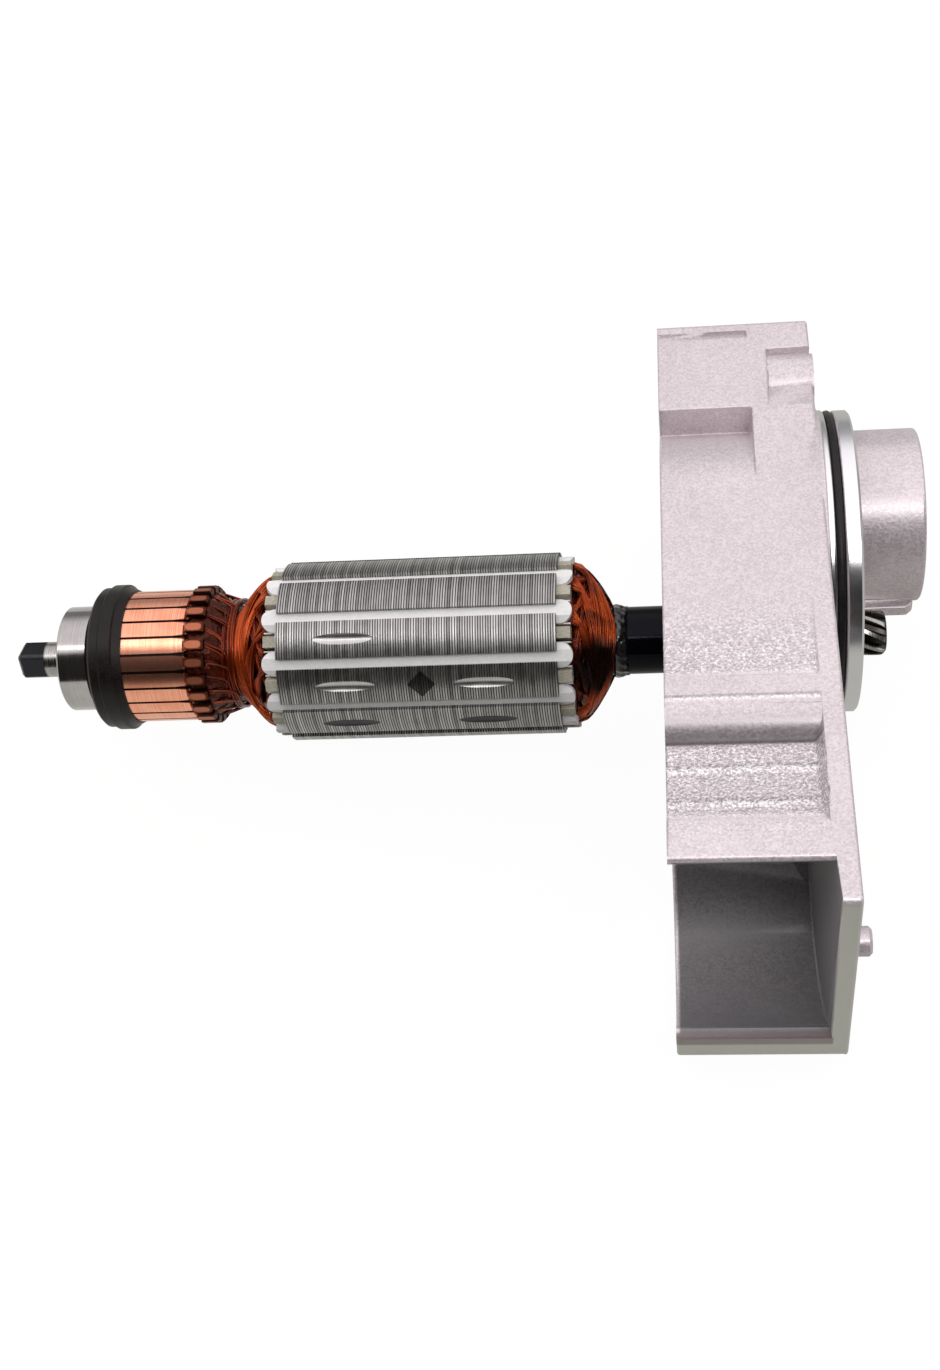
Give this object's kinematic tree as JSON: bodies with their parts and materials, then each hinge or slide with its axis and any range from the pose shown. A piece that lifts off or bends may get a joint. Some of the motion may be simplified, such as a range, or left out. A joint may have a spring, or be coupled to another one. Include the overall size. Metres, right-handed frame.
{
  "type": "motor armature",
  "caption": "Wound armature of a universal motor with commutator, ball bearings, fan and helical pinion, seated in a die-cast gear flange with a spigot, a spindle boss and a side duct.",
  "frame": {"origin": "middle of the commutator bearing, on the armature axis", "axes": "+X along the armature axis from the commutator to the pinion, +Y towards the gear boss, +Z out of the casting's relieved flat side; the part lies on its -Z side"},
  "size_m": [0.2075, 0.1548, 0.0704],
  "materials": {
    "ground_steel": "ground",
    "black_sleeve": "glossy",
    "lamination_steel": "turned, edges of thin sheets",
    "cream_fibre": "matt",
    "insulating_paper": "matt",
    "white_fibre": "matt",
    "winding_wire": "enamelled wire",
    "brown_resin": "glossy impregnating resin",
    "commutator_copper": "turned copper",
    "black_moulding": "satin",
    "fan_plastic": "matt",
    "bearing_steel": "polished",
    "cage_steel": "pressed",
    "shield_steel": "pressed",
    "spring_steel": "dark",
    "black_rubber": "matt",
    "casting_paint": "textured metallic paint on a die casting"
  },
  "bodies": {
    "housing": {"gear_housing": "casting_paint", "drive_bearing_outer_ring": "bearing_steel", "drive_bearing_shields": "shield_steel", "bearing_retaining_ring": "spring_steel", "shaft_seal": "black_rubber", "spigot_o_ring": "black_rubber"},
    "armature": {"armature_shaft": "ground_steel", "shaft_sleeve": "black_sleeve", "lamination_stack": "lamination_steel", "end_insulator_commutator": "cream_fibre", "end_insulator_drive": "cream_fibre", "slot_liners": "insulating_paper", "slot_wedges": "white_fibre", "slot_coils": "winding_wire", "winding_commutator_end": "winding_wire", "winding_drive_end": "winding_wire", "coil_leads": "brown_resin", "commutator_bar_01": "commutator_copper", "commutator_bar_02": "commutator_copper", "commutator_bar_03": "commutator_copper", "commutator_bar_04": "commutator_copper", "commutator_bar_05": "commutator_copper", "commutator_bar_06": "commutator_copper", "commutator_bar_07": "commutator_copper", "commutator_bar_08": "commutator_copper", "commutator_bar_09": "commutator_copper", "commutator_bar_10": "commutator_copper", "commutator_bar_11": "commutator_copper", "commutator_bar_12": "commutator_copper", "commutator_bar_13": "commutator_copper", "commutator_bar_14": "commutator_copper", "commutator_bar_15": "commutator_copper", "commutator_bar_16": "commutator_copper", "commutator_bar_17": "commutator_copper", "commutator_bar_18": "commutator_copper", "commutator_bar_19": "commutator_copper", "commutator_bar_20": "commutator_copper", "commutator_bar_21": "commutator_copper", "commutator_bar_22": "commutator_copper", "commutator_bar_23": "commutator_copper", "commutator_bar_24": "commutator_copper", "commutator_hub": "black_moulding", "commutator_face_ring": "black_moulding", "bearing_dust_washer": "black_moulding", "cooling_fan": "fan_plastic", "commutator_bearing_inner_ring": "bearing_steel", "drive_bearing_inner_ring": "bearing_steel"},
    "drive_cage": {"drive_bearing_cage": "cage_steel", "drive_bearing_balls": "bearing_steel"},
    "commutator_outer": {"commutator_bearing_outer_ring": "bearing_steel", "commutator_bearing_shields": "shield_steel"},
    "commutator_cage": {"commutator_bearing_cage": "cage_steel", "commutator_bearing_balls": "bearing_steel"}
  },
  "joints": [
    {"name": "armature_spin", "type": "hinge", "parent": "housing", "child": "armature", "pos_m": [0, 0, 0], "axis": [1, 0, 0], "continuous": true},
    {"name": "drive_cage_spin", "type": "hinge", "parent": "housing", "child": "drive_cage", "pos_m": [0.1575, 0, 0], "axis": [1, 0, 0], "continuous": true},
    {"name": "commutator_outer_spin", "type": "hinge", "parent": "armature", "child": "commutator_outer", "pos_m": [0, 0, 0], "axis": [1, 0, 0], "continuous": true},
    {"name": "commutator_cage_spin", "type": "hinge", "parent": "armature", "child": "commutator_cage", "pos_m": [0, 0, 0], "axis": [1, 0, 0], "continuous": true}
  ],
  "couplings": [
    {"joint": "drive_cage_spin", "follows": "armature_spin", "ratio": 0.3659},
    {"joint": "commutator_cage_spin", "follows": "commutator_outer_spin", "ratio": 0.62}
  ]
}
